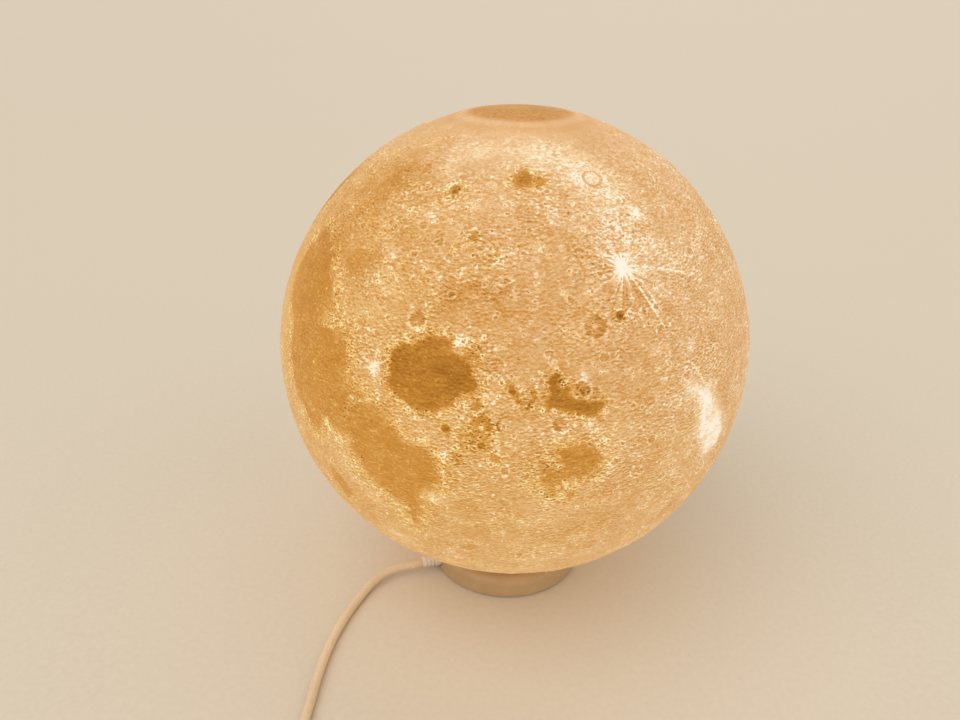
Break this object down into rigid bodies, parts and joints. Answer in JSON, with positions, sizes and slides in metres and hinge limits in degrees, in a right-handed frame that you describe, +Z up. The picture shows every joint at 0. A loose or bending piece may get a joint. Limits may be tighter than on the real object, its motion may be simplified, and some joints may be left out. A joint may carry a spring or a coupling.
{
  "type": "moon lamp",
  "caption": "Printed hollow moon that locks by a short twist onto a small round rechargeable light base, with its charging lead plugged in.",
  "frame": {"origin": "on the table, under the middle of the round base", "axes": "+Z up along the moon's polar axis; -Y faces the camera of the picture; +X is the picture's right"},
  "size_m": [0.15, 0.225, 0.1615],
  "materials": {
    "printed_moon": "matte layered print, lit from inside",
    "white_plastic": "fine moulded satin",
    "grey_silicone": "matte",
    "foot_rubber": "matte",
    "screw_steel": "zinc plated",
    "board_white": "satin",
    "light_chip": "gloss",
    "frosted_plastic": "frosted",
    "cell_wrap": "shrink film",
    "plated_contact": "nickel plated",
    "wire_insulation": "gloss",
    "board_green": "solder mask",
    "black_plastic": "matte",
    "charge_light": "clear",
    "lead_plastic": "soft satin",
    "tie_fabric": "hook and loop weave"
  },
  "bodies": {
    "base": {"seat_gasket": "grey_silicone", "base_housing": "white_plastic", "bottom_cover": "white_plastic", "cover_screws": "screw_steel", "foot_ring": "foot_rubber", "lamp_post": "white_plastic", "post_screws": "screw_steel", "light_board": "board_white", "light_chips": "light_chip", "diffuser_dome": "frosted_plastic", "battery_cell": "cell_wrap", "cell_spring_plate": "plated_contact", "cell_top_plate": "plated_contact", "light_wires": "wire_insulation", "control_board": "board_green", "board_screws": "screw_steel", "switch_body": "black_plastic", "dc_jack": "black_plastic", "jack_pin": "plated_contact", "charge_chip": "charge_light", "charge_light_pipe": "charge_light", "plug_body": "lead_plastic", "plug_barrel": "plated_contact", "power_cord": "lead_plastic", "cord_coil": "lead_plastic", "cord_tie": "tie_fabric", "usb_plug_body": "lead_plastic", "usb_shell": "plated_contact", "usb_tongue": "white_plastic"},
    "moon": {"moon_globe": "printed_moon", "globe_collar": "white_plastic"},
    "button": {"power_button": "white_plastic"}
  },
  "joints": [
    {"name": "moon_twist", "type": "hinge", "parent": "base", "child": "moon", "pos_m": [0, 0, 0.0128], "axis": [0, 0, 1], "range_deg": [0, 24]},
    {"name": "button_press", "type": "slide", "parent": "base", "child": "button", "axis": [0.9659, -0.2588, 0], "range_m": [0, 0.0008], "stiffness_N_per_m": 1500}
  ]
}
